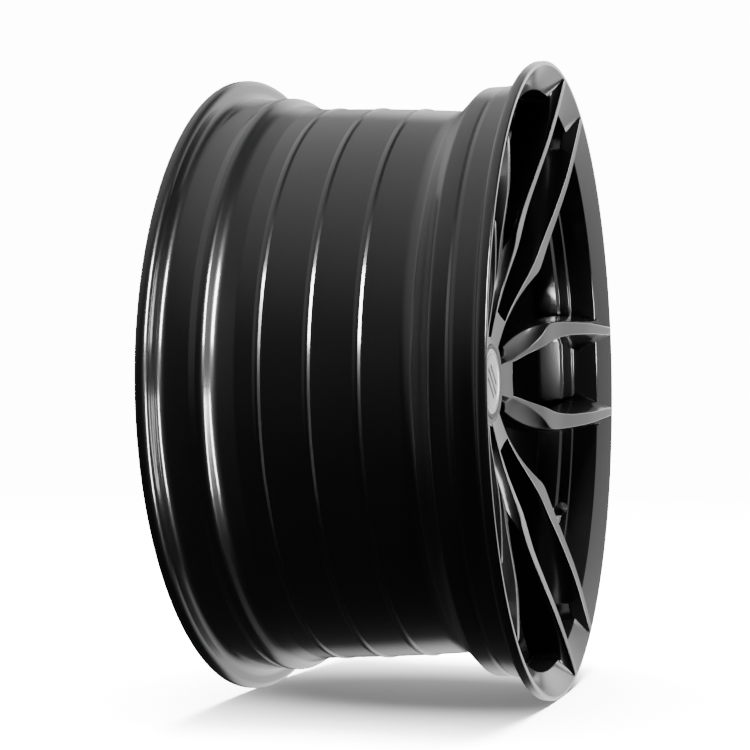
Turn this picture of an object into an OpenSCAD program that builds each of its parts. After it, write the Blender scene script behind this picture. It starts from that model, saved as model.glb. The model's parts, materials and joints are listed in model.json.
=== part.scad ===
// Forged road-racing wheel: a deep barrel, five twin spokes and a hub, with its centre cap and tyre valve.
// The axle runs along Y with the outboard face towards -Y, and the origin is the centre of the hub face.

/* [Rim] */
// Diameter of the bead seats
seat_d = 512.8; // [440:0.2:620]
// Width between the inner walls of the two flanges
rim_w = 254; // [212:1:306]
// Height of the flanges above the bead seats
flange_h = 17.3; // [15:0.1:21]
// Thickness of the inboard flange along the axle
flange_t = 11; // [10.5:0.5:14]
// Depth of the drop well below the bead seats
well_depth = 20.5; // [17:0.5:24.6]
// Thickness of the barrel wall
barrel_wall = 5.5; // [4.5:0.1:7]
// Thickness of the metal under the bead seats
seat_wall = 8.5; // [7:0.1:10]
// Distance of the hub face outboard of the rim's centre plane
et = 35; // [28:1:42]
// Height of the three beads around the barrel
bead_h = 1; // [0.6:0.1:1.4]

/* [Hub] */
// Diameter of the hub bore
bore_d = 66.6; // [56:0.1:74]
// Length of the hub bore
bore_len = 22; // [18:0.5:26]
// Diameter of the hub face
pad_d = 148; // [144:1:178]
// Thickness of the hub flange
pad_t = 16; // [13:0.5:20]
// Outside diameter of the boss around the centre cap
boss_d = 80; // [78:1:96]
// Height of the boss above the hub face
boss_h = 40.6; // [38:0.2:49]
// Pitch circle diameter of the wheel bolts
pcd = 112; // [108:0.5:120]
// Number of wheel bolts
bolt_count = 5; // [5]
// Diameter of the bolt holes
bolt_hole_d = 14.5; // [12:0.5:16.5]
// Diameter of the socket recess around each bolt
bolt_recess_d = 28; // [25:0.5:31]
// Thickness of metal under each tapered bolt seat
bolt_seat_t = 9; // [7:0.5:10.5]

/* [Spokes] */
// Number of twin spokes
spoke_count = 5; // [5]
// Angle of the first twin spoke above the X axis
spoke_phase = 4.5; // [-36:0.5:36]
// Half the gap between the two arms where they leave the hub
window_root = 15.2; // [12:0.2:18]
// Distance from the axle to the root of the gap
window_start = 60; // [54:1:70]
// Half the gap between the two arms at their widest
window_wide = 39; // [33:0.5:45]
// Width of each arm at its thickest
arm_w = 15.3; // [12.8:0.1:18.4]
// Width of each arm where it ends on the lip
tip_w = 6.8; // [5.5:0.1:8.2]
// Height of the arm tips over the outboard lip
tip_proud = 1.2; // [0.8:0.1:1.6]
// Depth of each arm along the axle at the barrel
arm_depth = 32; // [27:0.5:36]

/* [Centre cap] */
// Diameter of the bore that holds the cap
cap_bore_d = 60.4; // [56:0.2:62]
// Diameter of the cap's flange
cap_flange_d = 65.6; // [64:0.1:70]
// Thickness of the cap's flange
cap_flange_t = 3; // [2.6:0.1:3.6]
// Diameter of the cap's metal disc
cap_disc_d = 58; // [50:0.5:60]
// Thickness of the cap's metal disc
cap_disc_t = 1.6; // [1.3:0.1:1.9]
// Wall thickness of the cap's skirt
cap_skirt_wall = 2.2; // [1.8:0.1:2.6]
// Length of the cap's skirt
cap_skirt_len = 13; // [11:0.5:15.5]
// Number of slots that part the skirt into legs
cap_slots = 6; // [5:1:8]
// Diameter of the wire of the cap's spring ring
clip_wire_d = 1.8; // [1.5:0.1:2.1]

/* [Valve] */
// Lean of the valve towards the outboard side, from the radial direction
valve_lean = 33; // [28:1:39]
// Diameter of the valve hole
valve_hole_d = 11.5; // [11.3:0.1:12.5]
// Wall left between the two spot faces of the valve hole
valve_wall = 8.5; // [7.5:0.5:9.5]
// Outside diameter of the valve stem
stem_d = 8; // [7.4:0.1:9.4]
// Length of the stem beyond the wall
stem_len = 24.5; // [22:0.5:29]
// Diameter of the air passage in the stem
passage_d = 2.6; // [2.2:0.1:3]
// Width of the nut across its flats
nut_af = 12; // [11.5:0.1:14]
// Thickness of the nut
nut_t = 6; // [5:0.5:6.5]
// Outside diameter of the valve cap
valve_cap_d = 10.6; // [10.2:0.1:12.7]
// Diameter of the valve core
core_d = 5.1; // [4.6:0.1:5.3]
// Diameter of the core's pin
pin_d = 1.3; // [1.1:0.1:1.5]
// Travel of the core's pin when it is pressed
pin_travel = 1; // [0.8:0.1:1.2]

/* [Hidden] */
$fn = 96;
eps = 0.01;

// Clearances
cap_gap = 0.2;
pin_gap = 0.1;
thread_gap = 0.05;
seal_gap = 0.05;

// Rim radii and stations, where a station is a distance outboard of the centre plane
half_w = rim_w / 2;
seat_r = seat_d / 2;
flange_r = seat_r + flange_h;
heel_r = 6.5;
hook_r = 8.7;
back_edge_r = flange_t - hook_r;
lip_edge_r = 1.1;
lip_s = half_w + hook_r + lip_edge_r;
seat_len = 19;
toe_drop = seat_len * tan(5);
toe_s = half_w - heel_r - seat_len;
hump_top_r = seat_r - 0.4;
hump_flat_r = seat_r - 1.9;
well_r = seat_r - well_depth;
well_front_s = half_w - 60;
well_back_s = half_w - 67;
slope_top_s = half_w - 41.5;
slope_top_r = hump_flat_r - 3;

// Outer barrel surface: its own stations, and its height there above the well
barrel_line = [[-half_w + 42, 13.4], [-half_w + 59, 9.3], [-31, 7.1], [5, 5], [41, 1.9], [well_back_s, 0]];
bead_places = [-50.5, -11.1, 28];
bead_base_w = 6.5;
bead_crest_back = 1.2;
bead_crest_front = 1.3;
hump_foot_s = half_w - 46;

// Inner wall behind the outboard lip
lip_top_r = flange_r - 4.1;
lip_foot_s = half_w - 2;
lip_foot_r = seat_r - 6.2;
step_s = half_w - 27;
step_r = lip_foot_r - 1.7;
ridge_s = half_w - 36;
ridge_r = seat_r - 12.4;
shelf_s = half_w - 38.4;
shelf_r = seat_r - 15.5;
back_bore_r = seat_r - seat_wall;

// Hub places along the axle, from the hub face
cap_seat_z = boss_h - cap_flange_t;
cap_bore_r = cap_bore_d / 2;
groove_r = cap_bore_r + 1.2;
groove_z = cap_seat_z - 10.6;
groove_w = 3;
bolt_hole_r = bolt_hole_d / 2;
bolt_recess_r = bolt_recess_d / 2;
bolt_seat_r = bolt_recess_r - 1.5;
bolt_taper = bolt_seat_r - bolt_hole_r;

// Arm stations: distances from the axle
boss_r = boss_d / 2;
pad_r = pad_d / 2;
tip_r = lip_top_r - 1.6;
tip_s = lip_s + tip_proud;
elbow_r = flange_r / 2;
elbow_gap = window_wide - 5;
mid_r = elbow_r + 52;
root_w = 13.3;
tip_lean = 1;

// Scoop along the outer side of each arm, between the boss and the elbow
scoop_turn = 19.5;
scoop_rise = 15;
scoop_fall = 35.5;
scoop_len = 74;
scoop_start = window_root - 2;

// Front and back of the arms: distance from the axle, then height over the hub face
tip_z = tip_s - et;
arm_front = [[boss_r, boss_h - 0.6], [window_start, boss_h + 4.9], [80, boss_h + 10.4],
    [100, boss_h + 17.4], [elbow_r, boss_h + 28.2], [180, boss_h + 41.4],
    [mid_r + 24.6, boss_h + 51.1], [tip_r, tip_z]];
arm_back = [[pad_r, pad_t - 4], [110, pad_t + 17], [190, pad_t + 39.5], [shelf_r, tip_z - arm_depth - 7]];

// Valve place
valve_angle = spoke_phase - 180 / spoke_count;
valve_s = half_w - 44.5;
valve_r = slope_top_r - 1.8;
stem_r = stem_d / 2;
head_t = 2.9;
seal_t = 1.6;
washer_t = 1.2;
spot_r = nut_af * 0.8;
stem_top = valve_wall + stem_len;
core_r = core_d / 2;
poppet_r = core_r - 0.7;
pin_r = pin_d / 2;
core_top = stem_top - pin_travel - 0.5;
plug_len = 5.5;
core_len = 15;
core_bottom = core_top - core_len;
collar_t = 1.5;
pin_tail = 3;
pin_recess = 0.3;
stop_t = 0.7;
poppet_t = 1;
spring_wire_d = 0.4;
spring_coils = 7;
cap_cover = 9;
cap_roof_t = 2.5;
cap_seal_t = 0.95;

function arc(cx, cy, r, a0, a1, n = 6) =
    [for (i = [0:n]) [cx + r * cos(a0 + (a1 - a0) * i / n), cy + r * sin(a0 + (a1 - a0) * i / n)]];

function barrel_r(s) = well_r + lookup(s, barrel_line);

function bead(s) = [
    [s - bead_base_w / 2, barrel_r(s - bead_base_w / 2)],
    [s - bead_crest_back, barrel_r(s) + bead_h * 0.8],
    [s + bead_crest_front, barrel_r(s) + bead_h],
    [s + bead_base_w / 2, barrel_r(s + bead_base_w / 2)]];

// Tyre side of the section, from the inboard flange to the outboard lip
function tyre_side() = concat(
    [[-half_w - flange_t, flange_r - 12]],
    arc(-half_w - hook_r, flange_r - back_edge_r, back_edge_r, 180, 90),
    arc(-half_w - hook_r, flange_r - hook_r, hook_r, 80, 0),
    arc(-half_w + heel_r, seat_r + heel_r, heel_r, 180, 270),
    [[-toe_s, seat_r - toe_drop], [-toe_s + 5, seat_r - 0.8], [-toe_s + 9.7, hump_top_r],
     [-toe_s + 13.2, hump_top_r - 1.3], [-hump_foot_s - 1.8, barrel_r(-hump_foot_s) + 1.1]],
    [[-hump_foot_s, barrel_r(-hump_foot_s)], [-half_w + 59, barrel_r(-half_w + 59)]],
    [for (s = bead_places) each bead(s)],
    [[well_back_s, well_r]],
    arc(well_front_s, well_r + 12, 12, 270, 313.5),
    arc(slope_top_s + 4, slope_top_r - 1.2, 4, 133.5, 90),
    [[toe_s - 1, hump_flat_r], [toe_s + 1.5, hump_flat_r - 0.6], [toe_s + 4, seat_r - toe_drop + 0.3]],
    arc(half_w - heel_r, seat_r + heel_r, heel_r, 270, 360),
    arc(half_w + hook_r, flange_r - hook_r, hook_r, 180, 100),
    arc(half_w + hook_r, flange_r - lip_edge_r, lip_edge_r, 90, 0));

// Air side of the section, from the outboard lip back to the inboard flange
function air_side() = concat(
    [[lip_s, lip_top_r + 0.9], [lip_s - 0.4, lip_top_r - 0.1], [lip_foot_s, lip_foot_r]],
    [[step_s + 1.5, step_r], [step_s, step_r - 2], [ridge_s, ridge_r], [shelf_s, shelf_r]],
    [[well_front_s + 2, well_r - barrel_wall]],
    [for (i = [len(barrel_line) - 2:-1:0]) [barrel_line[i][0], barrel_r(barrel_line[i][0]) - barrel_wall]],
    [[-half_w + 30, back_bore_r - 1], [-half_w + 2, back_bore_r], [-half_w - 2, back_bore_r + 1.6]]);

// Turns a shape made with Z along the axle, from the hub face outwards, into the wheel's own frame
module on_axle() {
    rotate([90, 0, 0]) children();
}

// The rim's section between its tyre side and its air side, turned around the axle
module rim_ring() {
    translate([0, 0, -et]) rotate_extrude($fn = 180)
        polygon([for (p = concat(tyre_side(), air_side())) [p[1], p[0]]]);
}

// Places a shape on the valve's own axis, with Z = 0 at the tyre-side spot face
module on_valve() {
    rotate([0, 0, valve_angle]) translate([valve_r, 0, valve_s - et])
        rotate([0, valve_lean - 90, 0]) children();
}

module ring(r_out, r_in, z0, z1) {
    translate([0, 0, z0]) difference() {
        cylinder(r = r_out, h = z1 - z0);
        translate([0, 0, -eps]) cylinder(r = r_in, h = z1 - z0 + 2 * eps);
    }
}

module rim_barrel() {
    color([0.05, 0.05, 0.055]) on_axle() difference() {
        rim_ring();
        on_valve() {
            translate([0, 0, -15]) cylinder(r = spot_r + 0.6, h = 15);
            translate([0, 0, -eps]) cylinder(d = valve_hole_d, h = valve_wall + 2 * eps);
            translate([0, 0, valve_wall]) cylinder(r = spot_r, h = 15);
        }
    }
}

// Bolt holes with their tapered seats and socket recesses, midway between the twin spokes
module bolt_cuts() {
    for (i = [0:bolt_count - 1])
        rotate([0, 0, (i + 0.5) * 360 / bolt_count]) translate([pcd / 2, 0, 0]) {
            translate([0, 0, -eps]) cylinder(r = bolt_hole_r, h = bolt_seat_t + 2 * eps);
            translate([0, 0, bolt_seat_t]) cylinder(r1 = bolt_hole_r, r2 = bolt_seat_r, h = bolt_taper);
            translate([0, 0, bolt_seat_t + bolt_taper - eps]) cylinder(r = bolt_recess_r, h = boss_h);
        }
}

module hub() {
    color([0.06, 0.06, 0.065]) on_axle() difference() {
        union() {
            cylinder(r = pad_r, h = pad_t);
            cylinder(r = boss_r, h = boss_h - 1);
            translate([0, 0, boss_h - 1]) cylinder(r1 = boss_r, r2 = boss_r - 3, h = 1);
        }
        translate([0, 0, -eps]) cylinder(d = bore_d, h = bore_len + eps);
        cylinder(r = cap_bore_r, h = boss_h);
        translate([0, 0, groove_z]) cylinder(r = groove_r, h = groove_w);
        translate([0, 0, cap_seat_z]) cylinder(d = cap_flange_d + 2 * cap_gap, h = cap_flange_t + 1);
        rotate([0, 0, spoke_phase]) bolt_cuts();
    }
}

// Plan outline of one twin spoke along +X, from the boss out to the tips on the lip
module spoke_plan() {
    outer = [[boss_r - 6, window_root + 0.8], [window_start - 3, window_root + root_w],
        [window_start + 12, window_root + root_w + 7.5], [87, elbow_gap + arm_w - 7.8],
        [elbow_r - 36, elbow_gap + arm_w - 3.6], [elbow_r - 21, elbow_gap + arm_w - 0.8],
        [elbow_r + 5, elbow_gap + arm_w + 1.4], [mid_r, window_wide + 10.8],
        [tip_r, window_wide + tip_w - tip_lean]];
    inner = [[window_start + 4, 0], [window_start, window_root - 5], [window_start, window_root],
        [97, window_root + 8.4], [elbow_r - 22, elbow_gap - 5.8], [elbow_r, elbow_gap],
        [mid_r, window_wide], [tip_r + 30, window_wide - tip_lean - 0.3]];
    difference() {
        union() {
            polygon(concat(outer, [for (i = [len(outer) - 1:-1:0]) [outer[i][0], -outer[i][1]]]));
            for (side = [-1, 1])
                translate([tip_r, side * (window_wide - tip_lean + tip_w / 2)]) circle(d = tip_w);
        }
        polygon(concat(inner, [for (i = [len(inner) - 1:-1:1]) [inner[i][0], -inner[i][1]]]));
    }
}

// Slanted cut that hollows the outer side of both arms
module scoop_cuts() {
    for (side = [0, 1])
        mirror([0, side, 0]) translate([boss_r, scoop_start, boss_h + 1.4])
            rotate([0, 0, scoop_turn]) rotate([0, -scoop_rise, 0]) rotate([-scoop_fall, 0, 0])
                translate([-12, 0, 0]) cube([scoop_len + 12, 50, 40]);
}

// Band between the front and the back of the arms, turned around the axle
module arm_band() {
    rotate([0, 0, 180 / spoke_count]) rotate_extrude($fn = 180) polygon(concat(
        [[boss_r, pad_t]], arm_front, [[tip_r + 8, tip_z]], [[tip_r + 8, tip_z - arm_depth - 7]],
        [for (i = [len(arm_back) - 1:-1:0]) arm_back[i]], [[pad_r, pad_t]]));
}

// Everything inside the air side of the rim, and in front of its lip
module air_space() {
    rotate([0, 0, 180 / spoke_count]) translate([0, 0, -et]) rotate_extrude($fn = 180) polygon(concat(
        [[0, -half_w]],
        [[back_bore_r, -half_w + 2]],
        [for (i = [len(air_side()) - 3:-1:0]) [air_side()[i][1], air_side()[i][0]]],
        [[lip_top_r + 0.9, lip_s + 20], [0, lip_s + 20]]));
}

module twin_spoke(number) {
    color([0.07, 0.07, 0.075]) on_axle()
        rotate([0, 0, spoke_phase + (number - 1) * 360 / spoke_count]) difference() {
            intersection() {
                linear_extrude(height = tip_z + 10) spoke_plan();
                arm_band();
                air_space();
            }
            bolt_cuts();
            scoop_cuts();
        }
}

module cap_body() {
    skirt_r = cap_bore_r - cap_gap;
    disc_z = boss_h - cap_disc_t + 0.3;
    color([0.1, 0.1, 0.1]) on_axle() difference() {
        union() {
            translate([0, 0, cap_seat_z]) cylinder(d = cap_flange_d, h = cap_flange_t + 0.3);
            ring(skirt_r, skirt_r - cap_skirt_wall, cap_seat_z - cap_skirt_len, cap_seat_z + eps);
        }
        translate([0, 0, disc_z]) cylinder(d = cap_disc_d + 2 * seal_gap, h = cap_disc_t + 1);
        for (i = [0:cap_slots - 1])
            rotate([0, 0, i * 360 / cap_slots])
                translate([skirt_r - cap_skirt_wall - 1, -2, cap_seat_z - cap_skirt_len - eps])
                    cube([cap_skirt_wall + 2, 4, cap_skirt_len - 2]);
    }
}

module cap_clip_ring() {
    wire_r = clip_wire_d / 2;
    ring_r = cap_bore_r - cap_gap - cap_skirt_wall - wire_r;
    color([0.6, 0.6, 0.62]) on_axle() translate([0, 0, groove_z + groove_w / 2])
        rotate_extrude() translate([ring_r, 0]) circle(r = wire_r, $fn = 24);
}

module cap_disc() {
    color([0.75, 0.76, 0.78]) on_axle() translate([0, 0, boss_h - cap_disc_t + 0.3])
        cylinder(d = cap_disc_d, h = cap_disc_t);
}

module valve_stem() {
    color([0.55, 0.56, 0.58]) on_axle() on_valve() difference() {
        union() {
            translate([0, 0, -seal_t - head_t]) cylinder(r = spot_r - 1, h = head_t);
            translate([0, 0, -seal_t - eps]) cylinder(r = stem_r, h = stem_top + seal_t + eps);
        }
        translate([0, 0, -seal_t - head_t - eps]) cylinder(d = passage_d, h = stem_top + 10);
        translate([0, 0, core_bottom - 5]) cylinder(r = core_r, h = core_len + 10);
    }
}

module valve_seal() {
    color([0.03, 0.03, 0.03]) on_axle() on_valve() {
        ring(spot_r - 1.4, stem_r, -seal_t, 0);
        ring(valve_hole_d / 2, stem_r, 0, valve_wall / 2);
    }
}

module valve_washer() {
    color([0.6, 0.6, 0.62]) on_axle() on_valve()
        ring(spot_r - 1, stem_r + thread_gap, valve_wall, valve_wall + washer_t);
}

module valve_nut() {
    color([0.5, 0.5, 0.52]) on_axle() on_valve() translate([0, 0, valve_wall + washer_t]) difference() {
        cylinder(d = nut_af / cos(30), h = nut_t, $fn = 6);
        translate([0, 0, -eps]) cylinder(r = stem_r, h = nut_t + 2 * eps);
    }
}

module core_body() {
    tube_r = core_r - 0.5;
    color([0.72, 0.6, 0.3]) on_axle() on_valve() difference() {
        union() {
            translate([0, 0, core_top - plug_len]) cylinder(r = core_r, h = plug_len);
            translate([0, 0, core_bottom]) cylinder(r = tube_r, h = core_len - plug_len + eps);
        }
        translate([0, 0, core_bottom - eps]) cylinder(r = pin_r + pin_gap, h = core_len + 1);
        translate([0, 0, core_bottom + collar_t])
            cylinder(r = tube_r - 0.5, h = core_len - plug_len - collar_t);
    }
}

module core_seal() {
    color([0.85, 0.85, 0.82]) on_axle() on_valve()
        ring(core_r, core_r - 0.5, core_bottom + 2, core_bottom + 5);
}

module core_pin() {
    color([0.72, 0.6, 0.3]) on_axle() on_valve() {
        translate([0, 0, core_bottom - pin_tail])
            cylinder(r = pin_r, h = stem_top - pin_recess - core_bottom + pin_tail);
        translate([0, 0, core_top - plug_len - stop_t - seal_gap]) cylinder(r = pin_r + 0.65, h = stop_t);
        translate([0, 0, core_bottom - 2 * poppet_t]) cylinder(r = poppet_r, h = poppet_t);
    }
}

module poppet_seal() {
    color([0.03, 0.03, 0.03]) on_axle() on_valve()
        ring(poppet_r, pin_r, core_bottom - poppet_t, core_bottom - seal_gap);
}

module core_spring() {
    length = core_len - plug_len - collar_t - stop_t - 5 * seal_gap;
    color([0.7, 0.7, 0.72]) on_axle() on_valve() translate([0, 0, core_bottom + collar_t + 2 * seal_gap])
        linear_extrude(height = length, twist = -360 * spring_coils, slices = 12 * spring_coils, $fn = 12)
            translate([pin_r + 0.42, 0]) circle(d = spring_wire_d, $fn = 8);
}

module valve_cap() {
    color([0.08, 0.08, 0.085]) on_axle() on_valve() difference() {
        union() {
            translate([0, 0, stem_top - cap_cover]) cylinder(d = valve_cap_d, h = cap_cover + cap_roof_t - 1);
            translate([0, 0, stem_top + cap_roof_t - 1])
                cylinder(d1 = valve_cap_d, d2 = valve_cap_d - 2, h = 1);
        }
        translate([0, 0, stem_top - cap_cover - eps])
            cylinder(r = stem_r + thread_gap, h = cap_cover + cap_seal_t + 2 * seal_gap + eps);
    }
}

module valve_cap_seal() {
    color([0.03, 0.03, 0.03]) on_axle() on_valve()
        ring(stem_r - 0.3, pin_r + 0.6, stem_top + seal_gap, stem_top + seal_gap + cap_seal_t);
}

rim_barrel();
hub();
twin_spoke(1);  // twin_spoke_1
twin_spoke(2);  // twin_spoke_2
twin_spoke(3);  // twin_spoke_3
twin_spoke(4);  // twin_spoke_4
twin_spoke(5);  // twin_spoke_5
cap_body();
cap_clip_ring();
cap_disc();
valve_stem();
valve_seal();
valve_washer();
valve_nut();
core_body();
core_seal();
core_pin();
core_spring();
poppet_seal();
valve_cap();
valve_cap_seal();
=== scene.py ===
"""Forged road-racing wheel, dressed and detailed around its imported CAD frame.

The axle runs along Y with the outboard face towards -Y. Heights are measured outboard from the hub face and
radii from the axle, both in millimetres. Meshes are made in metres, in the frame of the CAD nodes.
"""

import json
import logging
import math
from dataclasses import dataclass, field
from enum import Enum

import bmesh
import bpy
from bmesh.types import BMesh
from bpy.types import ID, Collection, Material, Node, NodeSocket, NodeTree, Object
from mathutils import Matrix, Vector

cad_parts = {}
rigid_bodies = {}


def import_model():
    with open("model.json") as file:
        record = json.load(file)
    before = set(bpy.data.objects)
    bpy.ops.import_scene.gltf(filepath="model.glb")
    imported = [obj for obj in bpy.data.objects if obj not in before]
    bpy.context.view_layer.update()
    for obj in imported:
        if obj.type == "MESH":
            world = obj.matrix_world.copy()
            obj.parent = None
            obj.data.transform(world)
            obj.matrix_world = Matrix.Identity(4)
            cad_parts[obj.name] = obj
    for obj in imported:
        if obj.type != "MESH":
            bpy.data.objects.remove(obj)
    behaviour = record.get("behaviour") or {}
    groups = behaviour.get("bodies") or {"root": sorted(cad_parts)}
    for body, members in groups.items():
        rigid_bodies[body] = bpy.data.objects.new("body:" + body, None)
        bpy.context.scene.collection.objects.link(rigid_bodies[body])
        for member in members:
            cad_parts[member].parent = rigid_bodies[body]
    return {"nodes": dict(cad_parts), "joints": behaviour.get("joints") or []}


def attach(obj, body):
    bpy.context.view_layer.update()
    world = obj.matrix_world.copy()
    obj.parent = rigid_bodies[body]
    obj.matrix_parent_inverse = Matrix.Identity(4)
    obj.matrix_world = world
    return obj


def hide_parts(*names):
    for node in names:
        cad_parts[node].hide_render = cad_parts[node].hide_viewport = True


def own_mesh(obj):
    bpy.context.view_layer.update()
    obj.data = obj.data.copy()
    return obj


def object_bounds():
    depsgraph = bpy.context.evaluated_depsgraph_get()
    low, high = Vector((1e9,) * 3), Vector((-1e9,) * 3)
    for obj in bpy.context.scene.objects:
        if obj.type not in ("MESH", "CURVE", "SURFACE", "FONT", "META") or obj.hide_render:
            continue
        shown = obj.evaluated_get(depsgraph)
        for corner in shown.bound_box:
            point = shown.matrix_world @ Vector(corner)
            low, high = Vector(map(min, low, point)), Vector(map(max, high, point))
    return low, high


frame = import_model()
CAD_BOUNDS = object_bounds()
JOINTS = {joint["name"]: joint for joint in frame["joints"]}

MM = 0.001
SPOKES = 5
FIRST_SPOKE_DEG = 4.5
CREASE_DEG = 32.0
DUST_COLOUR = (0.32, 0.31, 0.3)
LOG = logging.getLogger("wheel")


class Body(Enum):
    """CAD bodies that pieces ride on."""

    WHEEL = "wheel"
    CAP = "centre_cap"
    CORE_PIN = "core_pin"
    VALVE_CAP = "valve_cap"


# ---------- Curves and turned sections ----------


@dataclass(frozen=True)
class Track:
    """A size that changes smoothly along a part, given at a few places."""

    points: tuple[tuple[float, float], ...]

    def at(self, place: float) -> float:
        """Returns the size at one place, on a smooth curve through the given points.

        Args:
            place: distance along the part, in millimetres.

        Returns:
            The size there, in millimetres.
        """
        pts = self.points
        if place <= pts[0][0]:
            return pts[0][1]
        if place >= pts[-1][0]:
            return pts[-1][1]
        i = max(k for k in range(len(pts) - 1) if pts[k][0] <= place)
        (x0, y0), (x1, y1) = pts[i], pts[i + 1]
        t = (place - x0) / (x1 - x0)
        m0, m1 = self._slope(i) * (x1 - x0), self._slope(i + 1) * (x1 - x0)
        rise = y1 - y0
        return y0 + t * m0 + t * t * (3 * rise - 2 * m0 - m1) + t**3 * (m0 + m1 - 2 * rise)

    def _slope(self, i: int) -> float:
        """Returns the curve's slope at point i, flat where the size turns back."""
        pts = self.points
        spans = [
            (pts[k + 1][1] - pts[k][1]) / (pts[k + 1][0] - pts[k][0])
            for k in (i - 1, i)
            if 0 <= k < len(pts) - 1
        ]
        if len(spans) == 2 and spans[0] * spans[1] <= 0:
            return 0.0
        if len(spans) == 2:
            return 2 * spans[0] * spans[1] / (spans[0] + spans[1])
        return spans[0]


@dataclass(frozen=True)
class Corner:
    """A corner of a turned section: height outboard of the hub face, radius and rounding."""

    height: float
    radius: float
    rounding: float = 0.0


def section(*places: tuple[float, ...]) -> list[Corner]:
    """Returns corners from their heights, radii and, where they are rounded, roundings."""
    return [Corner(*place) for place in places]


def rounded(corners: list[Corner], closed: bool = True, steps: int = 5) -> list[tuple[float, float]]:
    """Rounds the corners of a turned section with arcs.

    Args:
        corners: the section's corners in order.
        closed: whether the section is a closed loop.
        steps: spans of each arc.

    Returns:
        Points of the section as (height, radius).
    """
    points = []
    count = len(corners)
    for i, corner in enumerate(corners):
        here = Vector((corner.height, corner.radius))
        if corner.rounding <= 0 or (not closed and i in (0, count - 1)):
            points.append((here.x, here.y))
            continue
        before, after = corners[i - 1], corners[(i + 1) % count]
        a = Vector((before.height, before.radius)) - here
        b = Vector((after.height, after.radius)) - here
        half = a.angle(b) / 2
        reach = min(corner.rounding / math.tan(half), a.length * 0.49, b.length * 0.49)
        radius = reach * math.tan(half)
        centre = here + (a.normalized() + b.normalized()).normalized() * radius / math.sin(half)
        start, end = here + a.normalized() * reach - centre, here + b.normalized() * reach - centre
        turn = start.angle_signed(end)
        for k in range(steps + 1):
            arm = start.copy()
            arm.rotate(Matrix.Rotation(-turn * k / steps, 2))
            points.append((centre.x + arm.x, centre.y + arm.y))
    return points


def shade(bm: BMesh, crease_deg: float = CREASE_DEG) -> None:
    """Makes a mesh's faces smooth and its creases sharp.

    Args:
        bm: the mesh.
        crease_deg: edges that turn by more than this stay sharp.
    """
    for face in bm.faces:
        face.smooth = True
    for edge in bm.edges:
        if len(edge.link_faces) == 2:
            edge.smooth = edge.calc_face_angle(0.0) < math.radians(crease_deg)


def new_object(name: str, data: ID) -> Object:
    """Makes an object from its data and links it to the scene."""
    made = bpy.data.objects.new(name, data)
    bpy.context.scene.collection.objects.link(made)
    return made


def finish_mesh(bm: BMesh, name: str, crease_deg: float = CREASE_DEG) -> Object:
    """Turns a bmesh into a linked object with outward normals, smooth faces and sharp creases.

    Args:
        bm: the mesh in metres, in the frame's own place; it is freed.
        name: the piece's name.
        crease_deg: edges that turn by more than this stay sharp.

    Returns:
        The new object, at the origin.
    """
    bmesh.ops.remove_doubles(bm, verts=bm.verts, dist=1e-6)
    bmesh.ops.recalc_face_normals(bm, faces=bm.faces)
    shade(bm, crease_deg)
    mesh = bpy.data.meshes.new(name)
    bm.to_mesh(mesh)
    bm.free()
    return new_object(name, mesh)


def turned(outline: list[tuple[float, float]], steps: int, closed: bool = True) -> BMesh:
    """Spins a section once around the axle.

    Args:
        outline: points of the section as (height, radius).
        steps: spans around the axle.
        closed: whether the section is a closed loop, and not a line from the axle to the axle.

    Returns:
        The turned solid.
    """
    bm = bmesh.new()
    verts = [bm.verts.new((r * MM, -h * MM, 0)) for h, r in outline]
    edges = [bm.edges.new(pair) for pair in zip(verts, verts[1:])]
    if closed:
        edges.append(bm.edges.new((verts[-1], verts[0])))
    bmesh.ops.spin(
        bm, geom=verts + edges, cent=(0, 0, 0), axis=(0, 1, 0), dvec=(0, 0, 0),
        angle=math.tau, steps=steps, use_merge=True, use_duplicate=False,
    )
    bmesh.ops.remove_doubles(bm, verts=bm.verts, dist=1e-7)
    bmesh.ops.recalc_face_normals(bm, faces=bm.faces)
    return bm


def round_bar(radius: float, start: Vector, end: Vector, end_radius: float = 0.0) -> BMesh:
    """Makes a round bar or a cone between two points, in metres.

    Args:
        radius: radius at the start.
        start: centre of the first end.
        end: centre of the other end.
        end_radius: radius at the end, or 0 for the same as the start.

    Returns:
        The bar as a closed mesh.
    """
    bm = bmesh.new()
    along = end - start
    place = Matrix.Translation((start + end) / 2) @ along.to_track_quat("Z", "Y").to_matrix().to_4x4()
    bmesh.ops.create_cone(
        bm, cap_ends=True, segments=64, radius1=radius, radius2=end_radius or radius,
        depth=along.length, matrix=place,
    )
    return bm


def cut(piece: Object, tools: list[BMesh]) -> None:
    """Cuts tool shapes out of a piece and keeps the result as the piece's own mesh.

    Args:
        piece: the piece to cut, with no other modifier on it.
        tools: closed meshes in metres; they are freed.
    """
    for bm in tools:
        bmesh.ops.recalc_face_normals(bm, faces=bm.faces)
        mesh = bpy.data.meshes.new("cutter")
        bm.to_mesh(mesh)
        bm.free()
        cutter = new_object("cutter", mesh)
        boolean = piece.modifiers.new("cut", "BOOLEAN")
        boolean.operation, boolean.solver, boolean.object = "DIFFERENCE", "MANIFOLD", cutter
        bpy.context.view_layer.update()
        shaped = bpy.data.meshes.new_from_object(piece.evaluated_get(bpy.context.evaluated_depsgraph_get()))
        piece.modifiers.remove(boolean)
        old, piece.data = piece.data, shaped
        shaped.name = piece.name
        bpy.data.meshes.remove(old)
        bpy.data.objects.remove(cutter)
        bpy.data.meshes.remove(mesh)
    bm = bmesh.new()
    bm.from_mesh(piece.data)
    shade(bm)
    bm.to_mesh(piece.data)
    bm.free()


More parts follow.
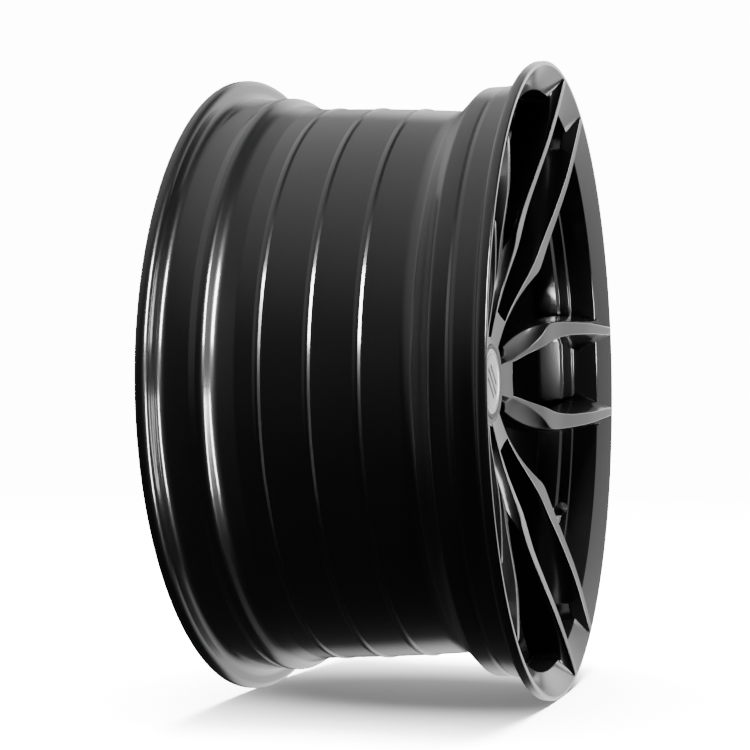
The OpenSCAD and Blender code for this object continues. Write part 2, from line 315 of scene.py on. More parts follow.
def soften(
    piece: Object, width: float, angle_deg: float = CREASE_DEG, clamp: bool = True
) -> None:
    """Rounds a piece's sharp edges with a live bevel.

    Args:
        piece: the piece.
        width: width of the rounding in millimetres.
        angle_deg: edges that turn by less than this are left alone.
        clamp: whether the shortest edge of the piece limits the width.
    """
    bevel = piece.modifiers.new("edge_rounding", "BEVEL")
    bevel.width, bevel.segments, bevel.limit_method = width * MM, 3, "ANGLE"
    bevel.angle_limit = math.radians(angle_deg)
    bevel.harden_normals, bevel.profile, bevel.use_clamp_overlap = True, 0.5, clamp
    weighted = piece.modifiers.new("face_normals", "WEIGHTED_NORMAL")
    weighted.keep_sharp = True


def dress(piece: Object, material: Material, body: Body | None = None) -> None:
    """Gives a piece its material, and has it ride on its body.

    Args:
        piece: a new piece or a CAD node.
        material: its finish.
        body: the body a new piece rides on; None for a CAD node.
    """
    piece.data.materials.clear()
    piece.data.materials.append(material)
    if body:
        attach(piece, body.value)


# ---------- Finishes ----------


def shader_group(name: str, inputs: dict[str, float], *outputs: str) -> NodeTree:
    """Makes an empty shader node group with named number sockets.

    Args:
        name: the group's name.
        inputs: names and default values of its inputs.
        outputs: names of its outputs.

    Returns:
        The group's node tree, with its two end nodes in place.
    """
    tree = bpy.data.node_groups.new(name, "ShaderNodeTree")
    for label, value in inputs.items():
        socket = tree.interface.new_socket(name=label, in_out="INPUT", socket_type="NodeSocketFloat")
        socket.default_value = value
    for label in outputs:
        tree.interface.new_socket(name=label, in_out="OUTPUT", socket_type="NodeSocketFloat")
    tree.nodes.new("NodeGroupInput")
    tree.nodes.new("NodeGroupOutput")
    return tree


def ends(tree: NodeTree) -> tuple[Node, Node]:
    """Returns a group's input and output nodes."""
    return tree.nodes["Group Input"], tree.nodes["Group Output"]


def add_node(tree: NodeTree, kind: str, operation: str | None = None, **values: float) -> Node:
    """Adds a shader node to a tree.

    Args:
        tree: the tree it goes into.
        kind: the node's type, without the ShaderNode that starts its name.
        operation: the operation of a math node.
        values: values of its inputs by name, with an underscore for a space.

    Returns:
        The node.
    """
    added = tree.nodes.new(f"ShaderNode{kind}")
    if operation:
        added.operation = operation
    for label, value in values.items():
        added.inputs[label.replace("_", " ")].default_value = value
    return added


def wire(tree: NodeTree, *links: tuple[Node, str | int, Node, str | int]) -> None:
    """Links nodes.

    Args:
        tree: the tree they are in.
        links: for each link, a node and its output, then a node and its input.
    """
    for source, given, target, taken in links:
        tree.links.new(source.outputs[given], target.inputs[taken])


def skin_group() -> NodeTree:
    """Builds the skin of a sprayed or moulded surface: a soft ripple, fine grain and slight gloss changes.

    Returns:
        A group with the inputs Ripple size, Grain size and Gloss change, and the outputs Height and Gloss.
    """
    sizes = {"Ripple size": 260.0, "Grain size": 2600.0, "Gloss change": 0.05}
    tree = shader_group("surface_skin", sizes, "Height", "Gloss")
    given, out = ends(tree)
    place = add_node(tree, "TexCoord")
    ripple = add_node(tree, "TexNoise", Detail=2.0)
    grain = add_node(tree, "TexNoise", Detail=1.0)
    cloud = add_node(tree, "TexNoise", Scale=14.0)
    blend = add_node(tree, "Math", "MULTIPLY_ADD")
    blend.inputs[1].default_value = 0.18
    centre = add_node(tree, "Math", "SUBTRACT")
    centre.inputs[1].default_value = 0.5
    change = add_node(tree, "Math", "MULTIPLY")
    wire(
        tree,
        *((place, "Object", noise, "Vector") for noise in (ripple, grain, cloud)),
        (given, "Ripple size", ripple, "Scale"), (given, "Grain size", grain, "Scale"),
        (grain, "Fac", blend, 0), (ripple, "Fac", blend, 2), (blend, 0, out, "Height"),
        (cloud, "Fac", centre, 0), (centre, 0, change, 0), (given, "Gloss change", change, 1),
        (change, 0, out, "Gloss"),
    )
    return tree


def wear_group() -> NodeTree:
    """Builds a mask of handled, slightly polished edges.

    Returns:
        A group with the inputs Amount and Breakup, and the output Mask.
    """
    tree = shader_group("edge_polish", {"Amount": 0.5, "Breakup": 90.0}, "Mask")
    given, out = ends(tree)
    shape = add_node(tree, "NewGeometry")
    place = add_node(tree, "TexCoord")
    noise = add_node(tree, "TexNoise")
    edge = add_node(tree, "MapRange", From_Min=0.52, From_Max=0.62)
    patch = add_node(tree, "Math", "MULTIPLY")
    amount = add_node(tree, "Math", "MULTIPLY")
    wire(
        tree,
        (place, "Object", noise, "Vector"), (given, "Breakup", noise, "Scale"),
        (shape, "Pointiness", edge, "Value"), (edge, "Result", patch, 0), (noise, "Fac", patch, 1),
        (patch, 0, amount, 0), (given, "Amount", amount, 1), (amount, 0, out, "Mask"),
    )
    return tree


def dust_group() -> NodeTree:
    """Builds a mask of thin dust: fine specks, and more of them on faces that look up.

    Returns:
        A group with the inputs Amount and Speck size, and the output Mask.
    """
    tree = shader_group("light_dust", {"Amount": 0.2, "Speck size": 900.0}, "Mask")
    given, out = ends(tree)
    place = add_node(tree, "TexCoord")
    shape = add_node(tree, "NewGeometry")
    split = add_node(tree, "SeparateXYZ")
    noise = add_node(tree, "TexNoise")
    specks = add_node(tree, "MapRange", From_Min=0.62, From_Max=0.75)
    facing = add_node(tree, "MapRange", From_Min=-0.4, To_Min=0.25)
    both = add_node(tree, "Math", "MULTIPLY")
    amount = add_node(tree, "Math", "MULTIPLY")
    wire(
        tree,
        (place, "Object", noise, "Vector"), (given, "Speck size", noise, "Scale"),
        (noise, "Fac", specks, "Value"), (shape, "Normal", split, "Vector"), (split, "Z", facing, "Value"),
        (specks, "Result", both, 0), (facing, "Result", both, 1),
        (both, 0, amount, 0), (given, "Amount", amount, 1), (amount, 0, out, "Mask"),
    )
    return tree


def lathe_group() -> NodeTree:
    """Builds the fine rings that turning leaves around the axle.

    Returns:
        A group with the inputs Pitch and Strength, and the output Height.
    """
    tree = shader_group("turning_marks", {"Pitch": 1400.0, "Strength": 1.0}, "Height")
    given, out = ends(tree)
    place = add_node(tree, "TexCoord")
    split = add_node(tree, "SeparateXYZ")
    join = add_node(tree, "CombineXYZ")
    length = add_node(tree, "VectorMath", "LENGTH")
    scaled = add_node(tree, "Math", "MULTIPLY")
    noise = add_node(tree, "TexNoise", Scale=1.0, Detail=3.0)
    noise.noise_dimensions = "1D"
    amount = add_node(tree, "Math", "MULTIPLY")
    wire(
        tree,
        (place, "Object", split, "Vector"), (split, "X", join, "X"), (split, "Z", join, "Z"),
        (join, "Vector", length, "Vector"), (length, "Value", scaled, 0), (given, "Pitch", scaled, 1),
        (scaled, 0, noise, "W"), (noise, "Fac", amount, 0), (given, "Strength", amount, 1),
        (amount, 0, out, "Height"),
    )
    return tree


@dataclass(frozen=True)
class Finish:
    """One finish of the wheel and its small parts."""

    name: str
    colour: tuple[float, float, float]
    tint: tuple[float, float, float]
    roughness: float
    metallic: float = 0.0
    coat: float = 0.0
    coat_roughness: float = 0.05
    anisotropy: float = 0.0
    specular: float = 0.5
    ripple: float = 260.0
    grain: float = 2600.0
    bump: float = 0.1
    bump_depth: float = 0.00003
    gloss_change: float = 0.05
    dust: float = 0.15
    polish: float = 0.3
    rings: float = 0.0

    def build(self, groups: dict[str, NodeTree]) -> Material:
        """Makes the material from the shared groups.

        Args:
            groups: the shared shader groups by name.

        Returns:
            The material.
        """
        material = bpy.data.materials.new(self.name)
        material.use_nodes = True
        tree = material.node_tree
        shader = tree.nodes["Principled BSDF"]
        for label, value in (
            ("Specular IOR Level", self.specular), ("Metallic", self.metallic), ("Coat Weight", self.coat),
            ("Coat Roughness", self.coat_roughness), ("Anisotropic", self.anisotropy),
        ):
            shader.inputs[label].default_value = value
        skin = self._place(
            tree, groups["skin"],
            {"Ripple size": self.ripple, "Grain size": self.grain, "Gloss change": self.gloss_change},
        )
        polish = self._place(tree, groups["polish"], {"Amount": self.polish})
        dust = self._place(tree, groups["dust"], {"Amount": self.dust})
        worn = self._mix(tree, self.colour, self.tint, polish.outputs["Mask"])
        dusty = self._mix(tree, worn, DUST_COLOUR, dust.outputs["Mask"])
        tree.links.new(dusty, shader.inputs["Base Color"])
        gloss = add_node(tree, "Math", "ADD")
        gloss.inputs[1].default_value = self.roughness
        gloss.use_clamp = True
        bump = add_node(tree, "Bump", Strength=self.bump, Distance=self.bump_depth)
        wire(
            tree,
            (skin, "Gloss", gloss, 0), (gloss, 0, shader, "Roughness"),
            (skin, "Height", bump, "Height"), (bump, "Normal", shader, "Normal"),
        )
        if self.rings:
            rings = self._place(tree, groups["rings"], {"Strength": self.rings})
            total = add_node(tree, "Math", "ADD")
            wire(tree, (skin, "Height", total, 0), (rings, "Height", total, 1), (total, 0, bump, "Height"))
        return material

    @staticmethod
    def _place(tree: NodeTree, group: NodeTree, values: dict[str, float]) -> Node:
        """Puts a shared group into a material's tree with its own values, and returns its node."""
        placed = add_node(tree, "Group")
        placed.node_tree = group
        for label, value in values.items():
            placed.inputs[label].default_value = value
        return placed

    @staticmethod
    def _mix(
        tree: NodeTree,
        first: tuple[float, float, float] | NodeSocket,
        second: tuple[float, float, float],
        mask: NodeSocket,
    ) -> NodeSocket:
        """Mixes two colours by a mask.

        Args:
            tree: the material's tree.
            first: the colour where the mask is 0, or a socket that gives it.
            second: the colour where the mask is 1.
            mask: the mask's socket.

        Returns:
            The socket of the mixed colour.
        """
        mix = add_node(tree, "Mix")
        mix.data_type = "RGBA"
        tree.links.new(mask, mix.inputs["Factor"])
        if isinstance(first, NodeSocket):
            tree.links.new(first, mix.inputs["A"])
        else:
            mix.inputs["A"].default_value = (*first, 1)
        mix.inputs["B"].default_value = (*second, 1)
        return mix.outputs["Result"]


FINISHES = {
    "wheel_black": Finish(
        "black_lacquer", (0.005, 0.005, 0.0053), (0.015, 0.015, 0.0155), roughness=0.36, specular=0.12,
        coat=1.0, coat_roughness=0.13, ripple=420.0, grain=5200.0, bump=0.02, bump_depth=0.00002, dust=0.03,
    ),
    "cap_black": Finish(
        "cap_plastic", (0.015, 0.015, 0.016), (0.05, 0.05, 0.05), roughness=0.28, ripple=900.0, grain=6000.0,
        bump=0.08, bump_depth=0.00004, dust=0.05,
    ),
    "cap_silver": Finish(
        "cap_brushed_metal", (0.6, 0.61, 0.63), (0.72, 0.73, 0.75), roughness=0.3, metallic=1.0, coat=0.6,
        coat_roughness=0.06, anisotropy=0.45, bump=0.12, dust=0.02, rings=1.0,
    ),
    "spring_steel": Finish(
        "spring_steel", (0.55, 0.55, 0.56), (0.7, 0.7, 0.7), roughness=0.28, metallic=1.0, anisotropy=0.3,
    ),
    "valve_metal": Finish(
        "valve_satin_metal", (0.42, 0.42, 0.43), (0.6, 0.6, 0.61), roughness=0.32, metallic=1.0,
        anisotropy=0.2, polish=0.6,
    ),
    "valve_black": Finish(
        "valve_cap_anodised", (0.02, 0.02, 0.022), (0.2, 0.2, 0.2), roughness=0.36, metallic=0.6, polish=0.7,
    ),
    "valve_rubber": Finish(
        "valve_rubber", (0.02, 0.02, 0.02), (0.05, 0.05, 0.05), roughness=0.75, ripple=1500.0, bump=0.25,
        bump_depth=0.00005,
    ),
    "core_brass": Finish(
        "core_brass", (0.62, 0.43, 0.17), (0.8, 0.62, 0.32), roughness=0.3, metallic=1.0, anisotropy=0.2,
    ),
    "core_white": Finish(
        "core_white_seal", (0.74, 0.73, 0.7), (0.8, 0.8, 0.78), roughness=0.5, ripple=1200.0,
        bump_depth=0.0002,
    ),
}


# ---------- The forging ----------


@dataclass
class Barrel:
    """The barrel with its flanges, bead seats, humps, well, beads and outboard lip."""

    half_w: float = 127.0
    et: float = 35.0
    seat_r: float = 256.4
    flange_h: float = 17.3
    well_r: float = 235.9
    wall: float = 5.5
    bead_h: float = 1.0
    bead_places: tuple[float, ...] = (-50.5, -11.1, 28.0)
    line: Track = Track(((-85, 13.4), (-68, 9.3), (-31, 7.1), (5, 5.0), (41, 1.9), (60, 0.0)))
    steps: int = 224
    spot_r: float = 9.6
    head_room: float = 0.6

    def _at(self, *places: tuple[float, float, float]) -> list[Corner]:
        """Returns corners from their stations outboard of the centre plane, radii and roundings."""
        return [Corner(station - self.et, radius, rounding) for station, radius, rounding in places]

    def _skin(self, station: float) -> float:
        """Returns the radius of the plain barrel wall at a station."""
        return self.well_r + self.line.at(station)

    def tyre_side(self) -> list[Corner]:
        """Returns the corners of the tyre side, from the inboard flange to the outboard lip."""
        w, seat, top = self.half_w, self.seat_r, self.seat_r + self.flange_h
        toe, hump = seat - 1.66, seat - 1.9
        corners = self._at(
            (-w - 11, top - 11.5, 5), (-w - 11, top, 2.3), (-w, top, 8.6), (-w, seat + 0.1, 7.5),
            (-w + 25.5, toe, 3), (-w + 31.5, seat - 0.5, 3), (-w + 37, seat - 0.6, 12),
            (-w + 43.4, self._skin(-w + 43.4), 12), (-w + 59, self._skin(-w + 59), 12),
        )
        for place in self.bead_places:
            corners += self._at(
                (place - 3.2, self._skin(place - 3.2), 1.0),
                (place - 0.8, self._skin(place) + self.bead_h * 0.8, 1.6),
                (place + 1.3, self._skin(place) + self.bead_h, 1.2),
                (place + 3.3, self._skin(place + 3.3), 0.8),
            )
        return corners + self._at(
            (w - 64, self.well_r, 16), (w - 56.2, self.well_r + 2.2, 12), (w - 38.6, hump, 4),
            (w - 26, hump, 2.5), (w - 23.5, hump - 0.7, 1.5), (w - 20, toe + 0.3, 6), (w, seat + 0.1, 6.4),
            (w, top, 8.6), (w + 9.8, top, 1.3), (w + 9.8, top - 3.6, 1.2),
        )

    def air_side(self) -> list[Corner]:
        """Returns the corners of the air side, from the outboard lip back to the inboard flange."""
        w, seat = self.half_w, self.seat_r
        return self._at(
            (w - 2, seat - 6.2, 1.6), (w - 25.5, seat - 7.9, 1.5), (w - 27, seat - 9.9, 1.3),
            (w - 36, seat - 12.4, 1.6), (w - 38.4, seat - 15.5, 2.0), (w - 58, self.well_r - self.wall, 10),
            *((s, self._skin(s) - self.wall, 6) for s in (41, 5, -31, -68, -85)),
            (-w + 30, seat - 9.5, 8), (-w + 2, seat - 8.5, 6), (-w - 5, seat - 6.4, 5),
        )

    def build(self, valve: "Valve") -> Object:
        """Turns the barrel and cuts the valve hole with its two spot faces.

        Args:
            valve: the tyre valve, for its place.

        Returns:
            The barrel.
        """
        bm = turned(rounded(self.tyre_side() + self.air_side()), self.steps)
        barrel = finish_mesh(bm, "barrel", crease_deg=40)
        cut(barrel, [
            round_bar((self.spot_r + self.head_room) * MM, valve.point(-12), valve.point(0)),
            round_bar(self.spot_r * MM, valve.point(valve.wall), valve.point(valve.wall + 12)),
            round_bar(valve.hole_r * MM, valve.point(-2), valve.point(valve.wall + 2)),
        ])
        return barrel


@dataclass
class TwinSpoke:
    """One twin spoke: a root at the hub, a web, and two arms that end in narrow tips on the lip.

    Tracks give sizes by the distance along the spoke's centreline, but the front and back go by radius.
    """

    number: int
    root: float = 33.0
    web_end: float = 60.0
    tip: float = 267.2
    station: float = 4.5
    front: Track = Track((
        (33, 39.9), (60, 45.5), (80, 51.0), (100, 58.0), (118, 64.6), (152, 73.4), (180, 82.0),
        (213.5, 91.7), (250, 99.5), (262, 101.6), (271, 102.9),
    ))
    back: Track = Track((
        (33, 12.0), (74, 12.5), (110, 33.0), (190, 55.5), (241, 64.0), (246, 66.0), (251, 80.0), (256, 90.0),
        (262, 94.5), (271, 97.5),
    ))
    gap: Track = Track((
        (33, 13.0), (60, 15.4), (90, 22.6), (114, 28.8), (134, 34.2), (153, 37.2), (176, 38.9), (206, 39.2),
        (254, 37.9), (267, 37.7),
    ))
    face: Track = Track((
        (33, 13.4), (45, 15.0), (58, 17.0), (71, 21.3), (83, 25.2), (93, 29.9), (104, 36.2),
        (112, 42.2), (117.5, 47.2), (123, 49.6), (137, 50.8), (152, 51.0), (172, 50.6), (203, 49.4),
        (251, 45.6), (267, 44.4),
    ))
    shoulder: Track = Track((
        (33, 15.0), (45, 21.5), (57, 28.6), (72, 36.2), (87, 42.0), (101, 46.3), (116, 49.6), (123, 50.8),
        (137, 51.9), (152, 52.1), (190, 51.6), (225, 51.0), (250, 52.4), (262, 51.0), (267, 49.0),
    ))
    shoulder_drop: Track = Track((
        (33, 10.0), (95, 10.0), (108, 8.2), (116, 5.0), (123, 2.8), (190, 3.0), (225, 5.0), (250, 8.0),
        (267, 7.0),
    ))
    flank: Track = Track((
        (33, 17.0), (57, 30.5), (87, 44.0), (116, 51.8), (137, 54.6), (190, 57.0), (228, 57.6), (238, 57.8),
        (244, 59.2), (248, 62.5), (267, 52.0),
    ))
    ledge: Track = Track((
        (60, 0.2), (114, 0.8), (137, 1.5), (190, 4.5), (225, 6.8), (250, 9.0), (267, 7.0),
    ))
    ledge_drop: Track = Track((
        (60, 4.0), (114, 5.5), (137, 6.0), (190, 9.0), (235, 11.0), (250, 11.5), (267, 8.0),
    ))
    undercut: Track = Track((
        (60, 0.6), (137, 3.0), (190, 7.0), (228, 11.0), (238, 12.2), (244, 13.8), (248, 17.0), (267, 8.0),
    ))

    def _point(self, along: float, side: float, drop: float = 0.0, low: bool = False) -> Vector:
        """Returns a point of the spoke before it is turned to its angle.

        Args:
            along: distance along the centreline.
            side: distance to the side of it.
            drop: depth below the front, or height above the back if low.
            low: whether the point is on the back.

        Returns:
            The point, in metres.
        """
        radius = math.hypot(along, side)
        height = self.back.at(radius) + drop if low else self.front.at(radius) - drop
        return Vector((along * MM, -height * MM, side * MM))

    def _section(self, along: float) -> list[Vector]:
        """Returns the arm's section at one station, from the inner front edge round to the ledge."""
        face, shoulder, drop = self.face.at(along), self.shoulder.at(along), self.shoulder_drop.at(along)
        gap, tuck = self.gap.at(along), min(1.0, max(0.0, (along - self.tip + 3.4) / 3.4))
        middle = (gap + face) / 2
        squeeze = math.sqrt(max(0.0, 1 - tuck * tuck)) * 0.94 + 0.06

        def drawn(side: float) -> float:
            """Returns a side distance drawn in towards the arm's middle at the rounded tip."""
            return middle + (side - middle) * squeeze

        hollow = face + (shoulder - face) * 0.42
        return [
            self._point(along, drawn(gap), drop=1.2 * tuck * tuck),
            self._point(along, drawn(face), drop=1.2 * tuck * tuck),
            self._point(along, drawn(hollow), drop=drop * 0.60 + tuck),
            self._point(along, drawn(shoulder), drop=drop + tuck),
            self._point(along, drawn(self.flank.at(along)), low=True),
            self._point(along, drawn(gap - self.undercut.at(along)), low=True),
            self._point(along, drawn(gap - self.ledge.at(along)), drop=self.ledge_drop.at(along) + tuck),
        ]

    def _stations(self) -> list[float]:
        """Returns the stations from the root to the tip, closer together at the elbow and at the tip."""
        places = {self.web_end, self.tip}
        place = self.root
        while place < self.tip:
            if abs(place - self.web_end) > 1.5:
                places.add(round(place, 2))
            near_elbow = 96 < place < 124
            near_end = place > 236
            place += 2.25 if near_elbow or near_end else self.station
        places.update({self.tip - 3.4, self.tip - 2.2, self.tip - 1.2, self.tip - 0.5, self.tip - 0.15})
        return sorted(places)

    def build(self, lug_cuts: list[BMesh]) -> Object:
        """Draws half the spoke out station by station, mirrors it, and cuts the bolt recesses into its root.

        Args:
            lug_cuts: the recess shapes of the two bolts beside this spoke.

        Returns:
            The twin spoke.
        """
        bm = bmesh.new()
        rows = []
        for along in self._stations():
            spots = self._section(along)
            if along <= self.web_end:
                spots = [self._point(along, 0), *spots[:6], self._point(along, 0, low=True), spots[6]]
            rows.append([bm.verts.new(p) for p in spots])
        bm.faces.new(rows[0][:8])
        for near, far in zip(rows, rows[1:]):
            if len(near) > len(far):
                top, *arm, low, ledge = near
                bm.faces.new([top, arm[0], ledge, arm[5], low])
                near = [*arm, ledge]
            loop = list(range(8)) if len(near) == 9 else [*range(7), 0]
            for i, j in zip(loop, loop[1:]):
                bm.faces.new([near[i], near[j], far[j], far[i]])
        bm.faces.new(rows[-1])
        loose = [v for v in bm.verts if not v.link_faces]
        bmesh.ops.delete(bm, geom=loose, context="VERTS")
        bmesh.ops.mirror(bm, geom=bm.verts[:] + bm.edges[:] + bm.faces[:], merge_dist=1e-6, axis="Z")
        angle = math.radians(FIRST_SPOKE_DEG + 360 / SPOKES * (self.number - 1))
        bmesh.ops.rotate(bm, verts=bm.verts, cent=(0, 0, 0), matrix=Matrix.Rotation(-angle, 3, "Y"))
        spoke = finish_mesh(bm, f"twin_spoke_{self.number}_forged", crease_deg=14)
        cut(spoke, lug_cuts)
        soften(spoke, 0.8, angle_deg=24, clamp=False)
        return spoke


@dataclass
class Hub:
    """The hub flange, the boss around the cap, the bore, and the bolt seats."""

    bolt_circle_r: float = 56.0
    hole_r: float = 7.25
    recess_r: float = 14.0
    recess_step: float = 1.5
    seat_z: float = 9.0
    steps: int = 128

    def _spot(self, number: int, height: float) -> Vector:
        """Returns a point on the axis of a bolt, which is midway between two spokes, in metres."""
        angle = math.radians(FIRST_SPOKE_DEG + (number + 0.5) * 360 / SPOKES)
        reach = self.bolt_circle_r * MM
        return Vector((reach * math.cos(angle), -height * MM, reach * math.sin(angle)))

    def recess(self, number: int) -> BMesh:
        """Returns the socket recess of one bolt, as a shape to cut with."""
        return round_bar(self.recess_r * MM, self._spot(number, self.seat_z + 5.2), self._spot(number, 75))

    def build(self) -> Object:
        """Turns the hub and cuts the bolt holes, their tapered seats and the recesses.

        Returns:
            The hub.
        """
        outline = rounded(section(
            (0, 33.3, 0.8), (0, 74, 1.6), (12.2, 74, 2.0), (16, 66, 4), (16.5, 40, 5), (40.6, 40, 1.5),
            (40.6, 33, 0.5), (37.6, 33, 0.3), (37.6, 30.2, 0.5), (30, 30.2, 0.3), (30, 31.4, 0.6),
            (27, 31.4, 0.6), (27, 30.2, 0.3), (22, 30.2, 0.4), (22, 33.3, 0.4),
        ), steps=4)
        hub = finish_mesh(turned(outline, self.steps), "hub_forged")
        mouth_r = self.recess_r - self.recess_step
        taper = mouth_r - self.hole_r
        tools = []
        for i in range(SPOKES):
            tools += [
                round_bar(self.hole_r * MM, self._spot(i, -2), self._spot(i, self.seat_z + 1)),
                round_bar(
                    self.hole_r * MM, self._spot(i, self.seat_z), self._spot(i, self.seat_z + taper),
                    mouth_r * MM,
                ),
                self.recess(i),
            ]
        cut(hub, tools)
        soften(hub, 0.5)
        return hub


@dataclass
class CentreCap:
    """The metal disc of the centre cap, with a plain ringed border and a generic slanted relief."""

    disc_r: float = 29.0
    top: float = 40.9
    low: float = 39.3
    bars: tuple[tuple[float, float], ...] = ((-7.5, 26), (0, 34), (7.5, 26))
    bar_width: float = 3.2
    bar_height: float = 0.5
    slant_deg: float = 38.0

    def build(self) -> tuple[Object, Object]:
        """Makes the disc and its relief, three slanted bars given by their offset and length.

        Returns:
            The disc and the relief.
        """
        t, r = self.top, self.disc_r
        outline = rounded(section(
            (self.low, 0), (self.low, r, 0.2), (t - 0.5, r, 0.4), (t, r - 0.9, 0.3), (t, r - 2.2, 0.15),
            (t - 0.5, r - 2.5, 0.15), (t - 0.5, r - 3.6, 0.15), (t, r - 3.9, 0.15), (t - 0.05, r - 5.0, 0.15),
            (t - 0.4, r - 5.4, 0.3), (t - 0.1, 0),
        ), closed=False)
        disc = finish_mesh(turned(outline, 128, closed=False), "cap_disc_turned")
        relief = bmesh.new()
        for offset, length in self.bars:
            bar = bmesh.ops.create_cube(relief, size=1)["verts"]
            bmesh.ops.scale(relief, verts=bar, vec=(length * MM, self.bar_height * MM, self.bar_width * MM))
            bmesh.ops.translate(relief, verts=bar, vec=(0, -(t - 0.3) * MM, offset * MM))
        slant = Matrix.Rotation(math.radians(self.slant_deg), 3, "Y")
        bmesh.ops.rotate(relief, verts=relief.verts, cent=(0, 0, 0), matrix=slant)
        bars = finish_mesh(relief, "cap_relief")
        soften(bars, 0.15)
        return disc, bars


@dataclass
class Valve:
    """The tyre valve: its place in the barrel, the threaded stem, the knurled cap and the core's spring."""

    seat: Vector = field(default_factory=lambda: Vector((0.212904, -0.0475, -0.130468)))
    axis: Vector = field(default_factory=lambda: Vector(JOINTS["valve_cap_lift"]["axis"]))
    wall: float = 8.5
    hole_r: float = 5.75
    stem_r: float = 4.0
    stem_top: float = 33.0
    cap_r: float = 5.3
    knurl_depth: float = 0.3
    coil_r: float = 1.07
    spring_low: float = 18.1
    spring_top: float = 25.15

    def point(self, place: float) -> Vector:
        """Returns a point on the valve's axis, measured in millimetres from the tyre-side spot face."""
        return self.seat + self.axis * (place * MM)

    def _seated(self, bm: BMesh) -> BMesh:
        """Moves a mesh made around the Y axis to the valve's own axis and place."""
        turn = Vector((0, -1, 0)).rotation_difference(self.axis).to_matrix().to_4x4()
        bmesh.ops.transform(bm, matrix=Matrix.Translation(self.seat) @ turn, verts=bm.verts)
        return bm

    def stem(self) -> Object:
        """Returns the stem: a flat head on the tyre side and a threaded tube."""
        r, bore = self.stem_r, 2.55
        outline = [
            (-4.5, 1.3), (-4.5, 8.2), (-4.1, 8.6), (-2.0, 8.6), (-1.6, 8.2), (-1.6, r - 0.1), (9.8, r - 0.1),
        ]
        place = 10.2
        while place < self.stem_top - 1.4:
            outline += [(place, r - 0.35), (place + 0.4, r - 0.02)]
            place += 0.8
        outline += [
            (self.stem_top - 0.7, r - 0.1), (self.stem_top, r - 0.7), (self.stem_top, bore + 0.15),
            (self.stem_top - 0.4, bore), (11.5, bore), (11.5, 1.3),
        ]
        return finish_mesh(self._seated(turned(outline, 64)), "valve_stem_threaded")

    def cap(self) -> Object:
        """Returns the knurled cap that screws onto the stem."""
        r, low, top, steps = self.cap_r, self.stem_top - 9, self.stem_top + 2.5, 96
        roof = self.stem_top + 1.06
        outline = rounded(section(
            (low, r - 1.25, 0.2), (low, r - 0.15, 0.5), (low + 1.6, r - 0.15, 0.2),
            (low + 1.9, r - 0.45, 0.2), (low + 2.2, r, 0.15), (top - 2.6, r, 0.2), (top - 2.3, r - 0.45, 0.2),
            (top - 1.9, r - 0.2, 0.3), (top, r - 1.0, 0.8), (top, 0.02), (roof, 0.02), (roof, r - 1.25),
        ))
        bm = self._seated(turned(outline, steps))
        side = self.axis.orthogonal().normalized()
        across = self.axis.cross(side)
        for v in bm.verts:
            arm = v.co - self.seat
            step = round(math.atan2(arm.dot(across), arm.dot(side)) / math.tau * steps)
            if step % 3 == 0 and arm.cross(self.axis).length > (r - 0.05) * MM:
                centre = self.seat + self.axis * arm.dot(self.axis)
                v.co = centre + (v.co - centre) * (1 - self.knurl_depth / r)
        return finish_mesh(bm, "valve_cap_knurled", crease_deg=28)

    def spring(self) -> Object:
        """Returns the core's spring, a round wire around the pin."""
        wire_r, coils, steps = 0.2, 7, 24
        length = self.spring_top - self.spring_low
        rise = (length - 2 * wire_r) / (coils * steps)
        bm = bmesh.new()
        place = Matrix.Translation((self.coil_r * MM, -(self.spring_low + wire_r) * MM, 0))
        bmesh.ops.create_circle(bm, segments=10, radius=wire_r * MM, matrix=place)
        bmesh.ops.spin(
            bm, geom=bm.verts[:] + bm.edges[:], cent=(0, 0, 0), axis=(0, 1, 0), dvec=(0, -rise * MM, 0),
            angle=math.tau * coils, steps=coils * steps,
        )
        bmesh.ops.holes_fill(bm, edges=[e for e in bm.edges if e.is_boundary])
        coil = finish_mesh(self._seated(bm), "core_spring_coil")
        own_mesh(coil)
        return coil


# ---------- Studio ----------


@dataclass(frozen=True)
class Softbox:
    """One large soft lamp: seen only as a reflection if mirrored, and otherwise only by its matt light."""

    name: str
    place: tuple[float, float, float]
    aim: tuple[float, float, float]
    size: tuple[float, float]
    watts: float
    mirrored: bool = True
    only: str | None = None

    def build(self, groups: dict[str, Collection]) -> None:
        """Hangs the lamp and turns it to its aim.

        Args:
            groups: the collections by name: what a lamp shines on, and what casts a shadow.
        """
        data = bpy.data.lights.new(self.name, "AREA")
        data.shape, data.size, data.size_y, data.energy = "RECTANGLE", *self.size, self.watts
        lamp = new_object(self.name, data)
        lamp.location = self.place
        lamp.visible_camera = False
        lamp.visible_glossy, lamp.visible_diffuse = self.mirrored, not self.mirrored
        if self.only:
            lamp.light_linking.receiver_collection = groups[self.only]
        if not self.mirrored:
            lamp.light_linking.blocker_collection = groups["shadowing"]
        lamp.rotation_euler = (Vector(self.aim) - Vector(self.place)).to_track_quat("-Z", "Y").to_euler()


@dataclass(frozen=True)
class Glow:
    """One soft bright side of the surround, as the wheel mirrors it."""

    towards: tuple[float, float, float]
    edge: float
    strength: float


